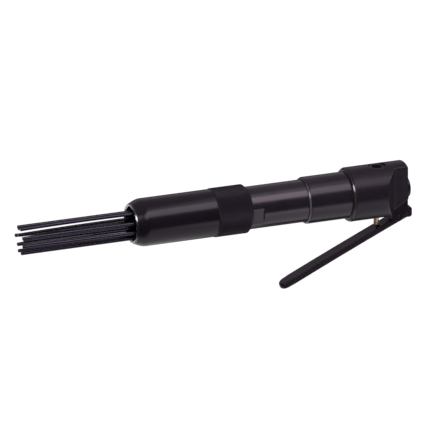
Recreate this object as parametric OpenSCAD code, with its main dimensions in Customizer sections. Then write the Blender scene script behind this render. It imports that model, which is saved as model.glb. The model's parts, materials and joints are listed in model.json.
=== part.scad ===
// Needle scaler: a compressed-air hand tool that hammers a bundle of loose steel needles.
// Millimetres. The tool lies along X: needles towards -X, air inlet at the origin facing +X, lever below.

/* [Needles] */
// Diameter of one needle
needle_d = 3; // [2.4:0.1:3.2]
// Length of one needle with its head
needle_len = 179; // [140:1:220]
// Diameter of a needle's head
needle_head_d = 4.2; // [3.8:0.1:4.6]
// Length of a needle's head
needle_head_len = 3; // [2:0.1:4]
// Radius of the outer ring of needles
outer_ring_r = 11.4; // [10.2:0.1:11.5]
// Radius of the inner ring of needles
inner_ring_r = 4.6; // [4:0.1:5]
// Turn of the needle pattern about the tool's axis, in degrees from the top
needle_turn = 13; // [0:0.5:40]
// How far the bundle of needles lies below the tool's axis
needle_drop = 1.4; // [0:0.1:1.6]
// How far a needle can slide back in the holder
needle_slack = 2.5; // [1:0.1:4]
// Length of the holder that the needles hang in
holder_len = 12; // [8:0.5:16]

/* [Nozzle] */
// Outside diameter of the front tube
nozzle_d = 41.2; // [40:0.1:42]
// Length of the front tube ahead of the collar
nozzle_show = 73.2; // [65:0.1:90]
// Inside diameter of the front tube
nozzle_bore = 32.6; // [32.4:0.1:33]
// Diameter of the mouth
mouth_d = 29.6; // [29.2:0.1:30]
// Outside diameter of the flat ring round the mouth
mouth_face_d = 34.6; // [33:0.1:37]
// Length of the taper behind the mouth
mouth_taper = 8.4; // [5:0.1:10]
// Depth of the lip that the return spring rests on
mouth_lip = 8.5; // [5:0.1:12]
// Wire of the return spring
return_wire = 1.2; // [1:0.1:1.3]
// Turns of the return spring
return_turns = 8; // [6:1:9]

/* [Collar] */
// Diameter over the knurl
collar_d = 42.4; // [42:0.1:45]
// Length of the collar
collar_len = 32; // [30:0.1:38]
// Bore of the collar, where both tubes screw in
collar_bore = 35; // [34.6:0.1:35.6]
// Bevel at the back of the collar
collar_bevel = 2.8; // [1:0.1:3]

/* [Hammer] */
// Outside diameter of the cylinder
cylinder_d = 36.8; // [36.5:0.1:39]
// Length of the cylinder between collar and sleeve
cylinder_show = 51; // [46:0.1:60]
// Diameter of the piston's bore
piston_bore = 24; // [22.6:0.1:25]
// Length of the piston
piston_len = 42; // [34:0.5:44]
// Across the two wrench flats
wrench_flat = 34; // [33:0.1:36.4]
// Length of the wrench flats
wrench_len = 10; // [8:0.1:16]
// Turn of the wrench flats about the tool's axis, in degrees from upright
wrench_turn = 7; // [0:0.5:30]
// Diameter of the anvil's stem
anvil_stem_d = 16; // [14:0.1:17]
// Forward travel of the anvil
anvil_travel = 4.5; // [3:0.1:6]

/* [Sleeve] */
// Outside diameter of the sleeve
sleeve_d = 40.6; // [40:0.1:42]
// Length of the sleeve ahead of the handle
sleeve_show = 39; // [35:0.1:46]
// Bore of the sleeve
sleeve_bore = 34; // [33:0.1:34.6]

/* [Handle] */
// Diameter of the handle
handle_d = 47.2; // [46:0.1:52]
// Length of the handle
handle_len = 55.7; // [55:0.1:64]
// Rounding of the handle's front edge
handle_round = 2.8; // [1.5:0.1:3.2]
// Thickness of the tang
tang_w = 20.4; // [19.6:0.1:22]
// Length of the tang
tang_len = 13; // [11:0.1:15]
// Length of the bevel between body and tang
bevel_len = 10.6; // [8:0.1:14]
// From the back face to the valve pin
valve_back = 25.7; // [24:0.1:27]
// Diameter of the plug over the valve
plug_d = 15.2; // [14.4:0.1:16]

/* [Inlet] */
// Minor diameter of the inlet's pipe thread
inlet_thread_d = 11.44; // [10:0.01:12]
// Depth of the inlet's thread
inlet_thread_len = 11.5; // [9:0.1:12.5]
// Diameter of the inlet's flange
inlet_flange_d = 18; // [17:0.1:19]
// How far the inlet's flange stands behind the handle
inlet_flange_len = 2.9; // [2:0.1:5]

/* [Lever] */
// Length of the lever from its pivot to its tip
lever_len = 118; // [95:1:135]
// Width of the lever at its pivot
lever_w = 13; // [12.6:0.1:13.4]
// Width of the lever at its tip
lever_tip_w = 12.6; // [10:0.1:12.9]
// Thickness of the lever at its pivot
lever_t = 4.7; // [4:0.1:5]
// Thickness of the lever at its tip
lever_tip_t = 5.2; // [4:0.1:6]
// Angle of the released lever below the tool's axis
lever_angle = 25; // [22:0.5:28]
// From the handle's back face forward to the pivot
pivot_back = 8.5; // [8:0.1:10]
// From the tool's axis down to the pivot
pivot_drop = 23.7; // [23.4:0.1:25]
// Diameter of the hinge pin
lever_pin_d = 4; // [3:0.1:4.4]

/* [Hidden] */
$fn = 64;
// Overrun of every cut
over = 1;
// Radial clearance of fixed and screwed seats
seat_gap = 0.03;
// Radial clearance of sliding fits
slide_gap = 0.06;
// Clearance between pieces that only pass each other
pass_gap = 0.4;
// Steps of a rounded edge
round_steps = 6;

outer_needles = 9;
inner_needles = 3;
needle_count = outer_needles + inner_needles;
needle_hole_gap = 0.1;
needle_tip_bevel = needle_d / 8;

// Stations along the tool, from the inlet forward
handle_back = -inlet_flange_len;
handle_front = handle_back - handle_len;
sleeve_front = handle_front - sleeve_show;
collar_back = sleeve_front - cylinder_show;
collar_front = collar_back - collar_len;
nozzle_front = collar_front - nozzle_show;

// Front joint: cylinder spigot, cushion ring, stop tube, holder
front_spigot_len = 8.4;
cushion_len = 4;
cushion_bore = 20;
strike_gap = 0.8;
anvil_head_len = 5.9;
cylinder_face = collar_back - front_spigot_len;
cushion_face = cylinder_face - cushion_len;
stop_tube_len = needle_head_len + needle_slack + anvil_travel + strike_gap + anvil_head_len;
stop_tube_bore = 2 * (outer_ring_r + needle_drop + needle_head_d / 2 + pass_gap);
anvil_head_d = stop_tube_bore - 2 * pass_gap;
holder_back = cushion_face - stop_tube_len;
holder_front = holder_back - holder_len;
needle_back = holder_back + needle_head_len;
needle_tip = needle_back - needle_len;

// Where the mouth's taper starts to round off, as a share of its length
mouth_shoulder_share = 0.72;

// Hammer chamber
neck_len = 12.5;
bush_wall = 3;
tail_reach = 5;
rear_spigot_len = 26.4;
piston_nose_len = 7;
piston_nose_d = 15;
piston_gap = 1.5;
neck_back = cylinder_face + neck_len;
cylinder_back = sleeve_front + rear_spigot_len;
piston_back = cylinder_back - piston_gap;
piston_front = piston_back - piston_len;
anvil_tail = neck_back + tail_reach;
anvil_head_back = cushion_face - slide_gap;

// Valve box
socket_len = 8.5;
seal_t = 1.5;
socket_d = 38;
socket_floor = handle_front + socket_len + seal_t;
front_case_len = 8;
case_port_d = 8;
case_split = cylinder_back + front_case_len;
disc_d = 20;
disc_t = 2;
disc_travel = 1;
disc_pocket = disc_t + disc_travel + 2 * slide_gap;
case_recess_len = 4;
case_recess_d = 28;
dowel_d = 2.5;
dowel_reach = 5;
dowel_r = (sleeve_bore + piston_bore) / 4;

// Throttle, measured from the tool's axis
handle_r = handle_d / 2;
back_round = 1.5;
valve_x = handle_back - valve_back;
plug_sink = 1.3;
plug_len = 7;
plug_socket_flats = 8;
plug_socket_len = 4;
plug_seal_t = 1.2;
chamber_d = 12;
seat_top = -3;
seat_len = 5;
seat_hole_d = 6.5;
poppet_d = 9.6;
poppet_len = 3;
poppet_stub_d = 4.6;
poppet_stub_len = 4;
lower_chamber_d = 9;
lower_chamber_floor = -15;
pin_bush_d = 8;
pin_seal_len = 2;
pin_d = 4.6;
throttle_wire = 1.1;
throttle_coil_d = 8.3;
throttle_turns = 5;
air_hole_d = 7;
air_hole_drop = 11.5;
seat_floor = seat_top - seat_len;
plug_top = handle_r - plug_sink;
plug_bottom = plug_top - plug_len;
plug_shelf = plug_bottom - plug_seal_t;
pin_bush_top = lower_chamber_floor - pin_seal_len;
pin_bush_bottom = -sqrt(pow(handle_r, 2) - pow(pin_bush_d / 2, 2));

// Inlet
bush_seat_d = 14.4;
bush_body_len = 14.1;
strainer_d = 9.8;
strainer_wall = 0.9;
strainer_holes = 6;
strainer_hole_d = 1.8;
inlet_passage_d = 9;
bush_front = handle_back - bush_body_len;

// Lever and its ears
pivot_x = handle_back - pivot_back;
pivot_z = -pivot_drop;
ear_r = 3.9;
ear_relief = 0.9;
ear_len = 15.4;
ear_root = 20;
// Upper edge of the ears' relief, as shares of the root's depth, front and back
relief_shares = [0.9, 0.36];
barrel_r = 4.3;
lever_gap = 0.3;
lever_bow = 0.85;
lever_crown_share = 0.72;
lever_heel = 10.5;
lever_steps = 14;
hook_t = 4.9;
hook_rise = 7;
hook_round = 3.2;
hook_low_share = 0.2;
stop_gap = 0.4;
contact_gap = 0.35;
pin_dome_h = 0.9;
ear_face = tang_w / 2 - ear_relief;
slot_w = lever_w + 2 * lever_gap;
lever_crown = lever_len * lever_crown_share;

// Points of an arc, corner by corner
function arc(centre, r, from, to) =
    [for (i = [0 : round_steps]) let (a = from + (to - from) * i / round_steps)
        centre + r * [cos(a), sin(a)]];

// A rod along X
module rod(from, to, d) {
    translate([from, 0, 0])
        rotate([0, 90, 0])
            cylinder(h = to - from, d = d);
}

// A rod along Z at the valve
module post(from, to, d) {
    translate([valve_x, 0, from])
        cylinder(h = to - from, d = d);
}

// A ring along X
module ring(from, to, d, bore) {
    difference() {
        rod(from, to, d);
        rod(from - over, to + over, bore);
    }
}

// Turns an outline of stations along X and radii about the tool's axis
module turned(outline) {
    rotate([0, 90, 0])
        rotate([0, 0, 90])
            rotate_extrude()
                polygon([for (p = outline) [p[1], p[0]]]);
}

// Draws a side outline in X and Z, as wide as w across Y
module side(w) {
    rotate([90, 0, 0])
        linear_extrude(w, center = true)
            children();
}

// Needle pattern: the outer ring first, then the inner ring, hung a little low as loose needles lie
function needle_place(i) =
    let (outer = i <= outer_needles)
    let (r = outer ? outer_ring_r : inner_ring_r)
    let (step = outer ? 360 / outer_needles : 360 / inner_needles)
    let (a = needle_turn + step * (outer ? i - 1 : i - 1 - outer_needles))
    [r * sin(a), r * cos(a) - needle_drop];

// A round wire wound along an axis from z = 0, closed at both ends
coil_sides = 6;
coil_rings = 24;
function coil_points(r, wire, turns, length) =
    let (rise = length - wire)
    [for (k = [0 : turns * coil_rings])
        let (a = 360 * k / coil_rings)
        let (z = wire / 2 + rise * k / (turns * coil_rings))
        for (s = [0 : coil_sides - 1])
            let (b = 360 * s / coil_sides)
            let (q = r + wire / 2 * cos(b))
            [q * cos(a), q * sin(a), z + wire / 2 * sin(b)]];
function coil_faces(turns) =
    let (last = turns * coil_rings)
    concat(
        [for (s = [1 : coil_sides - 2]) [0, s, s + 1]],
        [for (k = [0 : last - 1], s = [0 : coil_sides - 1])
            let (n = (s + 1) % coil_sides)
            let (a = k * coil_sides)
            let (b = a + coil_sides)
            each [[a + s, b + s, b + n], [a + s, b + n, a + n]]],
        [for (s = [1 : coil_sides - 2])
            [last * coil_sides, last * coil_sides + s + 1, last * coil_sides + s]]);
module coil(r, wire, turns, length) {
    echo(coil_gap = (length - wire) / turns - wire);
    polyhedron(coil_points(r, wire, turns, length), coil_faces(turns));
}

// Lever top face: height over the line through the pivot, at a distance t along it
function lever_top(t) = -lever_bow * pow((t - lever_crown) / lever_crown, 2);
// Thickness of the lever at a distance t from its pivot
function lever_thick(t) = lever_t + (lever_tip_t - lever_t) * max(t, 0) / lever_len;
// Height of the lever's top face under the valve pin
function lever_z_at(x) =
    let (rough = (pivot_x - x) / cos(lever_angle))
    let (t = (pivot_x - x - lever_top(rough) * sin(lever_angle)) / cos(lever_angle))
    pivot_z - t * sin(lever_angle) + lever_top(t) * cos(lever_angle);
pin_bottom = lever_z_at(valve_x) + contact_gap;

module handle() {
    edge = handle_round;
    half_tang = tang_w / 2;
    bevel_back = handle_back - tang_len;
    bevel_front = bevel_back - bevel_len;
    bevel_run = bevel_len * over / (handle_r - half_tang);
    color([0.09, 0.085, 0.1]) difference() {
        union() {
            turned(concat(
                [[handle_front, 0]],
                arc([handle_front + edge, handle_r - edge], edge, 180, 90),
                arc([handle_back - back_round, handle_r - back_round], back_round, 90, 0),
                [[handle_back, 0]]));
            side(tang_w)
                polygon(concat(
                    [[handle_back - ear_len, 0], [handle_back - ear_len, -ear_root]],
                    arc([pivot_x, pivot_z], ear_r, 205, 335),
                    [[handle_back, -ear_root], [handle_back, 0]]));
        }
        for (s = [-1, 1]) {
            translate([0, 0, -pivot_drop - ear_r - over])
                linear_extrude(2 * (pivot_drop + ear_r + over))
                    polygon([
                        [bevel_front - bevel_run, s * (handle_r + over)],
                        [handle_back + over, s * (handle_r + over)],
                        [handle_back + over, s * half_tang],
                        [bevel_back, s * half_tang]]);
            translate([0, s * (ear_face + ear_relief), 0])
                side(2 * ear_relief)
                    polygon([
                        [handle_back - ear_len - over, -ear_root * relief_shares[0]],
                        [handle_back + over, -ear_root * relief_shares[1]],
                        [handle_back + over, pivot_z - ear_r - over],
                        [handle_back - ear_len - over, pivot_z - ear_r - over]]);
        }
        translate([pivot_x - barrel_r - 2 * pass_gap, -slot_w / 2, pivot_z - ear_r - over])
            cube([pivot_back + barrel_r + 2 * pass_gap + over, slot_w, ear_r + over + barrel_r + pass_gap]);
        translate([pivot_x, 0, pivot_z])
            rotate([90, 0, 0])
                cylinder(h = tang_w + over, d = lever_pin_d, center = true);
        rod(handle_front - over, socket_floor, socket_d);
        rod(bush_front, handle_back + over, bush_seat_d);
        rod(valve_x, bush_front + over, inlet_passage_d);
        translate([0, 0, -air_hole_drop])
            rod(socket_floor - over, valve_x, air_hole_d);
        post(plug_shelf, handle_r + over, plug_d);
        post(seat_floor, plug_shelf + over, chamber_d);
        post(lower_chamber_floor, seat_floor + over, lower_chamber_d);
        post(-handle_r - over, lower_chamber_floor + over, pin_bush_d);
    }
}

module inlet_bush() {
    edge = inlet_flange_len / 4;
    color([0.12, 0.115, 0.13]) difference() {
        union() {
            turned(concat(
                [[handle_back, 0], [handle_back, inlet_flange_d / 2]],
                arc([-edge, inlet_flange_d / 2 - edge], edge, 90, 0),
                [[0, 0]]));
            rod(bush_front + seat_gap, handle_back + over, bush_seat_d - 2 * seat_gap);
        }
        rod(-inlet_thread_len, over, inlet_thread_d);
        rod(bush_front, over - inlet_thread_len, strainer_d + 2 * seat_gap);
    }
}

module inlet_strainer() {
    color([0.72, 0.6, 0.3]) difference() {
        rod(bush_front + seat_gap, -inlet_thread_len - seat_gap, strainer_d);
        rod(bush_front + strainer_wall, over - inlet_thread_len, strainer_d - 2 * strainer_wall);
        for (i = [0 : strainer_holes - 1])
            rotate([360 * i / strainer_holes, 0, 0])
                translate([0, 0, strainer_d / 4])
                    rod(bush_front - over, bush_front + strainer_wall + over, strainer_hole_d);
    }
}

module throttle_plug() {
    color([0.05, 0.05, 0.055]) difference() {
        post(plug_bottom, plug_top, plug_d - 2 * seat_gap);
        translate([valve_x, 0, plug_top - plug_socket_len])
            cylinder(h = plug_socket_len + over, d = plug_socket_flats / cos(30), $fn = 6);
    }
}

module plug_seal() {
    color([0.03, 0.03, 0.03]) difference() {
        post(plug_shelf, plug_bottom, plug_d - 2 * seat_gap);
        post(plug_shelf - over, plug_bottom + over, chamber_d + seat_gap);
    }
}

module throttle_spring() {
    color([0.6, 0.6, 0.62])
        translate([valve_x, 0, seat_top + poppet_len])
            coil((throttle_coil_d - throttle_wire) / 2, throttle_wire, throttle_turns,
                plug_bottom - seat_top - poppet_len);
}

module throttle_valve() {
    color([0.55, 0.55, 0.57]) {
        post(seat_top, seat_top + poppet_len, poppet_d);
        post(seat_top, seat_top + poppet_len + poppet_stub_len, poppet_stub_d);
    }
}

module valve_seat() {
    color([0.75, 0.6, 0.3]) difference() {
        post(seat_floor, seat_top, chamber_d - 2 * seat_gap);
        post(seat_floor - over, seat_top + over, seat_hole_d);
    }
}

module pin_bush() {
    color([0.75, 0.6, 0.3]) difference() {
        post(pin_bush_bottom, pin_bush_top, pin_bush_d - 2 * seat_gap);
        post(pin_bush_bottom - over, pin_bush_top + over, pin_d + 2 * slide_gap);
    }
}

module pin_seal() {
    color([0.03, 0.03, 0.03]) difference() {
        post(pin_bush_top, lower_chamber_floor, pin_bush_d - 2 * seat_gap);
        post(pin_bush_top - over, lower_chamber_floor + over, pin_d + 2 * slide_gap);
    }
}

module valve_pin() {
    pin_r = pin_d / 2;
    dome_r = (pow(pin_r, 2) + pow(pin_dome_h, 2)) / (2 * pin_dome_h);
    dome_angle = asin(pin_r / dome_r);
    color([0.8, 0.62, 0.28])
        translate([valve_x, 0, 0])
            rotate_extrude()
                polygon(concat(
                    arc([0, pin_bottom + dome_r], dome_r, -90, dome_angle - 90),
                    [[pin_r, seat_top], [0, seat_top]]));
}

module lever() {
    stations = [for (i = [0 : lever_steps]) -lever_heel + (lever_len + lever_heel) * i / lever_steps];
    tip_r = lever_tip_w / 2;
    taper_start = barrel_r + over;
    hook_in = pivot_back + stop_gap;
    hook_out = hook_in + hook_t;
    hook_low = -lever_heel * hook_low_share;
    color([0.1, 0.095, 0.11]) difference() {
        translate([pivot_x, 0, pivot_z]) union() {
            rotate([0, -lever_angle, 0]) intersection() {
                side(lever_w)
                    polygon(concat(
                        [for (t = stations) [-t, lever_top(t)]],
                        [for (i = [lever_steps : -1 : 0])
                            [-stations[i], lever_top(stations[i]) - lever_thick(stations[i])]]));
                translate([0, 0, -2 * lever_tip_t - lever_t])
                    linear_extrude(3 * lever_tip_t + lever_t)
                        union() {
                            polygon([
                                [lever_heel, -lever_w / 2], [lever_heel, lever_w / 2],
                                [-taper_start, lever_w / 2], [tip_r - lever_len, tip_r],
                                [tip_r - lever_len, -tip_r], [-taper_start, -lever_w / 2]]);
                            translate([tip_r - lever_len, 0])
                                circle(tip_r);
                        }
            }
            rotate([90, 0, 0])
                cylinder(h = lever_w, r = barrel_r, center = true);
            side(lever_w)
                polygon(concat(
                    [[hook_in, hook_low]],
                    arc([hook_out - hook_round, hook_low + hook_round], hook_round, -90, 0),
                    arc([hook_out - hook_round, hook_rise - hook_round], hook_round, 0, 90),
                    [[hook_in, hook_rise]]));
        }
        translate([pivot_x, 0, pivot_z])
            rotate([90, 0, 0])
                cylinder(h = lever_w + 2 * over, d = lever_pin_d + 2 * slide_gap, center = true);
    }
}

module lever_pin() {
    color([0.45, 0.45, 0.47])
        translate([pivot_x, 0, pivot_z])
            rotate([90, 0, 0])
                cylinder(h = 2 * (ear_face + pass_gap), d = lever_pin_d - seat_gap, center = true);
}

module sleeve() {
    edge = (sleeve_d - cylinder_d) / 3;
    color([0.06, 0.058, 0.07]) difference() {
        union() {
            turned(concat(
                [[sleeve_front, 0]],
                arc([sleeve_front + edge, sleeve_d / 2 - edge], edge, 180, 90),
                [[handle_front, sleeve_d / 2], [handle_front, 0]]));
            rod(handle_front - over, handle_front + socket_len, socket_d - 2 * seat_gap);
        }
        rod(sleeve_front - over, handle_front + socket_len + over, sleeve_bore);
    }
}

module sleeve_seal() {
    color([0.03, 0.03, 0.03])
        ring(handle_front + socket_len, socket_floor, socket_d - 2 * seat_gap, sleeve_bore);
}

module rear_valve_case() {
    color([0.5, 0.5, 0.52]) difference() {
        rod(case_split, socket_floor, sleeve_bore - 2 * seat_gap);
        rod(case_split - over, socket_floor + over, case_port_d);
        rod(socket_floor - case_recess_len, socket_floor + over, case_recess_d);
        dowel(seat_gap);
    }
}

module valve_disc() {
    pocket_floor = case_split - disc_pocket;
    color([0.6, 0.6, 0.62])
        rod(pocket_floor + slide_gap, pocket_floor + slide_gap + disc_t, disc_d - 2 * slide_gap);
}

module front_valve_case() {
    color([0.5, 0.5, 0.52]) difference() {
        rod(cylinder_back, case_split, sleeve_bore - 2 * seat_gap);
        rod(cylinder_back - over, case_split, case_port_d);
        rod(case_split - disc_pocket, case_split + over, disc_d);
        dowel(seat_gap);
    }
}

module dowel(gap) {
    translate([0, 0, dowel_r])
        rod(cylinder_back - dowel_reach - gap, case_split + dowel_reach + gap, dowel_d + 2 * gap);
}

module case_pin() {
    color([0.6, 0.6, 0.62])
        dowel(0);
}

module cylinder_tube() {
    spigot_d = collar_bore - 2 * seat_gap;
    rod(cylinder_face, collar_back + over, spigot_d);
    rod(collar_back, sleeve_front, cylinder_d);
    rod(sleeve_front - over, cylinder_back, sleeve_bore - 2 * seat_gap);
}

module cylinder_body() {
    color([0.06, 0.058, 0.07]) difference() {
        cylinder_tube();
        rod(cylinder_face - over, neck_back + over, anvil_stem_d + 2 * bush_wall);
        rod(neck_back, cylinder_back + over, piston_bore);
        rotate([wrench_turn, 0, 0])
            for (s = [-1, 1])
                translate([collar_back, s * cylinder_d / 2, 0])
                    side_cut(wrench_len, cylinder_d - wrench_flat);
        dowel(seat_gap);
    }
}

// A shallow flat on the side of the cylinder
module side_cut(length, depth) {
    translate([0, -depth / 2, -cylinder_d / 2])
        cube([length, depth, cylinder_d]);
}

module piston() {
    color([0.6, 0.6, 0.62]) {
        rod(piston_front + piston_nose_len, piston_back, piston_bore - 2 * slide_gap);
        rod(piston_front, piston_back, piston_nose_d);
    }
}

module anvil() {
    color([0.6, 0.6, 0.62]) {
        rod(anvil_head_back - anvil_head_len, anvil_head_back, anvil_head_d);
        rod(anvil_head_back - over, anvil_tail, anvil_stem_d);
    }
}

module anvil_bush() {
    color([0.72, 0.58, 0.3])
        ring(cylinder_face, neck_back, anvil_stem_d + 2 * bush_wall - 2 * seat_gap,
            anvil_stem_d + 2 * slide_gap);
}

module cushion_ring() {
    color([0.03, 0.03, 0.03])
        ring(cushion_face, cylinder_face, collar_bore - 2 * seat_gap, cushion_bore);
}

module stop_tube() {
    color([0.55, 0.55, 0.57])
        ring(holder_back + slide_gap, cushion_face, nozzle_bore - 2 * seat_gap, stop_tube_bore);
}

module collar() {
    collar_r = collar_d / 2;
    front_bevel = collar_bevel / 4;
    color([0.09, 0.088, 0.1]) difference() {
        turned([
            [collar_front, 0],
            [collar_front, collar_r - front_bevel],
            [collar_front + front_bevel, collar_r],
            [collar_back - collar_bevel, collar_r],
            [collar_back, collar_r - collar_bevel],
            [collar_back, 0]]);
        rod(collar_front - over, collar_back + over, collar_bore);
    }
}

module nozzle() {
    nozzle_r = nozzle_d / 2;
    face_r = mouth_face_d / 2;
    edge = (nozzle_r - face_r) / 4;
    color([0.06, 0.058, 0.07]) difference() {
        union() {
            turned([
                [nozzle_front, 0],
                [nozzle_front, face_r - edge],
                [nozzle_front + edge, face_r + edge],
                [nozzle_front + mouth_taper * mouth_shoulder_share, nozzle_r - edge],
                [nozzle_front + mouth_taper, nozzle_r],
                [collar_front, nozzle_r],
                [collar_front, 0]]);
            rod(collar_front - over, cushion_face, collar_bore - 2 * seat_gap);
        }
        rod(nozzle_front - over, cushion_face + over, mouth_d);
        rod(nozzle_front + mouth_lip, cushion_face + over, nozzle_bore);
    }
}

module return_spring() {
    lip = nozzle_front + mouth_lip;
    coil_d = nozzle_bore - 2 * pass_gap;
    color([0.6, 0.6, 0.62])
        translate([lip, 0, 0])
            rotate([0, 90, 0])
                coil((coil_d - return_wire) / 2, return_wire, return_turns, holder_front - lip);
}

module needle_holder() {
    color([0.55, 0.55, 0.57]) difference() {
        rod(holder_front, holder_back, nozzle_bore - 2 * slide_gap);
        for (i = [1 : needle_count])
            translate(concat([0], needle_place(i)))
                rod(holder_front - over, holder_back + over, needle_d + 2 * needle_hole_gap);
    }
}

module needle(i) {
    needle_r = needle_d / 2;
    color([0.2, 0.2, 0.23])
        translate(concat([0], needle_place(i)))
            turned([
                [needle_tip, 0],
                [needle_tip, needle_r - needle_tip_bevel],
                [needle_tip + needle_tip_bevel, needle_r],
                [holder_back, needle_r],
                [holder_back, needle_head_d / 2],
                [needle_back, needle_head_d / 2],
                [needle_back, 0]]);
}

handle();
inlet_bush();
inlet_strainer();
throttle_plug();
plug_seal();
throttle_spring();
throttle_valve();
valve_seat();
pin_bush();
pin_seal();
valve_pin();
lever();
lever_pin();
sleeve();
sleeve_seal();
rear_valve_case();
valve_disc();
front_valve_case();
case_pin();
cylinder_body();  // cylinder
piston();
anvil();
anvil_bush();
cushion_ring();
stop_tube();
collar();
nozzle();
return_spring();
needle_holder();
for (i = [1 : needle_count])
    needle(i);
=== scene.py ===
import json
import math

import bpy
import numpy as np
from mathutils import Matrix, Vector


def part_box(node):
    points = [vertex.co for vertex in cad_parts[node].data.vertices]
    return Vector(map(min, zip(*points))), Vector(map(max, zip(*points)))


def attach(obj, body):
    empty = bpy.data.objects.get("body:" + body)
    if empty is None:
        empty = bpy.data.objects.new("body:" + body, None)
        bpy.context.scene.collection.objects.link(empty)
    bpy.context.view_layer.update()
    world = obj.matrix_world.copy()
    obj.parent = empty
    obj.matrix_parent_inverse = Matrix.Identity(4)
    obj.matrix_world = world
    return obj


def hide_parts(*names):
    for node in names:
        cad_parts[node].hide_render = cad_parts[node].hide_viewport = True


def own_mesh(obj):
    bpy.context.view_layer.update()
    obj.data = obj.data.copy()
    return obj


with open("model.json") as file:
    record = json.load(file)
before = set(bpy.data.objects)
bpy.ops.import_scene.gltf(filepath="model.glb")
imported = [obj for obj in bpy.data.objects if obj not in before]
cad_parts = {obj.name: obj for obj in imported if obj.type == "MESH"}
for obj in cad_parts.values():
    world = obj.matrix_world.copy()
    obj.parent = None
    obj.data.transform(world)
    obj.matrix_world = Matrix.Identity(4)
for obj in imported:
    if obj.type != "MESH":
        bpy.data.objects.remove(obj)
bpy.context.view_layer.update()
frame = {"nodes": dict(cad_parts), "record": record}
mm = 0.001  # pieces are drawn in millimetres and stored in metres
print("frame loaded:", len(frame["nodes"]), "nodes")


# Camera

camera = {
    "azimuth": -20.7,  # degrees, from the side of the tool towards its needles
    "elevation": 21.0,
    "distance": 4.5,
    "lens": 442.5,
    "sensor": 36.0,
    "clipEnd": 60.0,
    "aim": (-0.1771, 0.0, -0.0024),  # point in the middle of the picture
}


def addToScene(obj):
    bpy.context.scene.collection.objects.link(obj)
    return obj


def makeCamera():
    data = bpy.data.cameras.new("photoCamera")
    data.lens = camera["lens"]
    data.sensor_width = camera["sensor"]
    data.clip_end = camera["clipEnd"]
    obj = addToScene(bpy.data.objects.new("photoCamera", data))
    turn = math.radians(camera["azimuth"])
    lift = math.radians(camera["elevation"])
    back = Vector((math.sin(turn) * math.cos(lift), -math.cos(turn) * math.cos(lift), math.sin(lift)))
    obj.location = Vector(camera["aim"]) + back * camera["distance"]
    obj.rotation_euler = (-back).to_track_quat("-Z", "Y").to_euler()
    bpy.context.scene.camera = obj


makeCamera()
print("camera set")


# Shader nodes

def addNode(tree, kind, **settings):
    node = tree.nodes.new(kind)
    for key, value in settings.items():
        setattr(node, key, value)
    return node


def feed(tree, socket, value):
    if isinstance(value, bpy.types.NodeSocket):
        tree.links.new(value, socket)
    else:
        socket.default_value = value


def mathNode(tree, operation, *values):
    node = addNode(tree, "ShaderNodeMath", operation=operation)
    for socket, value in zip(node.inputs, values):
        feed(tree, socket, value)
    return node.outputs[0]


def multiply(tree, first, second):
    return mathNode(tree, "MULTIPLY", first, second)


def subtract(tree, first, second):
    return mathNode(tree, "SUBTRACT", first, second)


def remap(tree, value, fromLow, fromHigh, toLow, toHigh):
    node = addNode(tree, "ShaderNodeMapRange")
    for index, item in enumerate((value, fromLow, fromHigh, toLow, toHigh)):
        feed(tree, node.inputs[index], item)
    return node.outputs[0]


def rampUp(tree, value, low, high):
    return remap(tree, value, low, high, 0.0, 1.0)


def noiseNode(tree, vector, scale, detail=3.0, roughness=0.5):
    node = addNode(tree, "ShaderNodeTexNoise", noise_dimensions="3D")
    tree.links.new(vector, node.inputs["Vector"])
    feed(tree, node.inputs["Scale"], scale)
    feed(tree, node.inputs["Detail"], detail)
    feed(tree, node.inputs["Roughness"], roughness)
    return node.outputs["Fac"]


def objectPlace(tree):
    return addNode(tree, "ShaderNodeTexCoord").outputs["Object"]


def splitPlace(tree, place):
    node = addNode(tree, "ShaderNodeSeparateXYZ")
    tree.links.new(place, node.inputs[0])
    return node.outputs


# Shader node groups shared by the finishes

def newGroup(name, inputs, outputs):
    group = bpy.data.node_groups.new(name, "ShaderNodeTree")
    for label, value in inputs.items():
        socket = group.interface.new_socket(label, in_out="INPUT", socket_type="NodeSocketFloat")
        socket.default_value = value
    for label in outputs:
        group.interface.new_socket(label, in_out="OUTPUT", socket_type="NodeSocketFloat")
    start = addNode(group, "NodeGroupInput")
    end = addNode(group, "NodeGroupOutput")
    return group, start.outputs, end.inputs, objectPlace(group)


def makeEdgeWear():
    # the softened normal leaves the true one near a corner
    inputs = {"Radius": 0.0005, "Breakup": 900.0}
    group, given, result, where = newGroup("edgeWear", inputs, ["Mask"])
    bevel = addNode(group, "ShaderNodeBevel", samples=6)
    group.links.new(given["Radius"], bevel.inputs["Radius"])
    surface = addNode(group, "ShaderNodeNewGeometry")
    match = addNode(group, "ShaderNodeVectorMath", operation="DOT_PRODUCT")
    group.links.new(bevel.outputs["Normal"], match.inputs[0])
    group.links.new(surface.outputs["Normal"], match.inputs[1])
    corner = rampUp(group, match.outputs["Value"], 0.995, 0.93)
    patches = remap(group, noiseNode(group, where, given["Breakup"]), 0.35, 0.65, 0.25, 1.0)
    group.links.new(multiply(group, corner, patches), result["Mask"])
    return group


def makeCastGrain():
    inputs = {"Scale": 1600.0, "Mottle": 160.0}
    group, given, result, where = newGroup("castGrain", inputs, ["Height", "Tone"])
    fine = noiseNode(group, where, given["Scale"], 4.0, 0.6)
    broad = noiseNode(group, where, given["Mottle"], 3.0, 0.55)
    group.links.new(mathNode(group, "MULTIPLY_ADD", broad, 0.35, fine), result["Height"])
    group.links.new(rampUp(group, broad, 0.3, 0.7), result["Tone"])
    return group


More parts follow.
